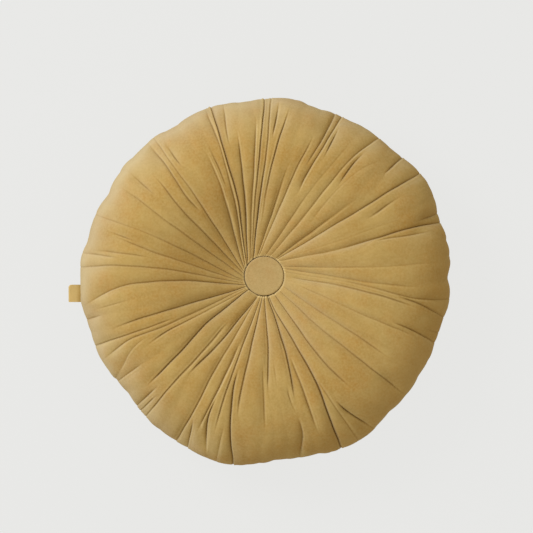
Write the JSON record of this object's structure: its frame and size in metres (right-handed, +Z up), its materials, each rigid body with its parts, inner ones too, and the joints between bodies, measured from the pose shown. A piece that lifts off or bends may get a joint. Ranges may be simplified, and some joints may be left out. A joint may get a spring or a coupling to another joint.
{
  "type": "round cushion",
  "caption": "Round gathered velvet cushion with radial folds, drawn in at the middle by covered buttons, with a small folded tab at its rim seam.",
  "frame": {"origin": "middle of the bounding box on the underside, where the cushion rests", "axes": "+Z up, out of the cushion's face; -X towards the tab; +Y to the top of the face as pictured"},
  "size_m": [0.4166, 0.4, 0.1178],
  "materials": {
    "velvet": "matt cotton velvet, ochre yellow, with a short pile whose nap runs unevenly"
  },
  "bodies": {
    "root": {"cushion": "velvet", "button_front": "velvet", "button_back": "velvet", "tab": "velvet"}
  },
  "joints": []
}
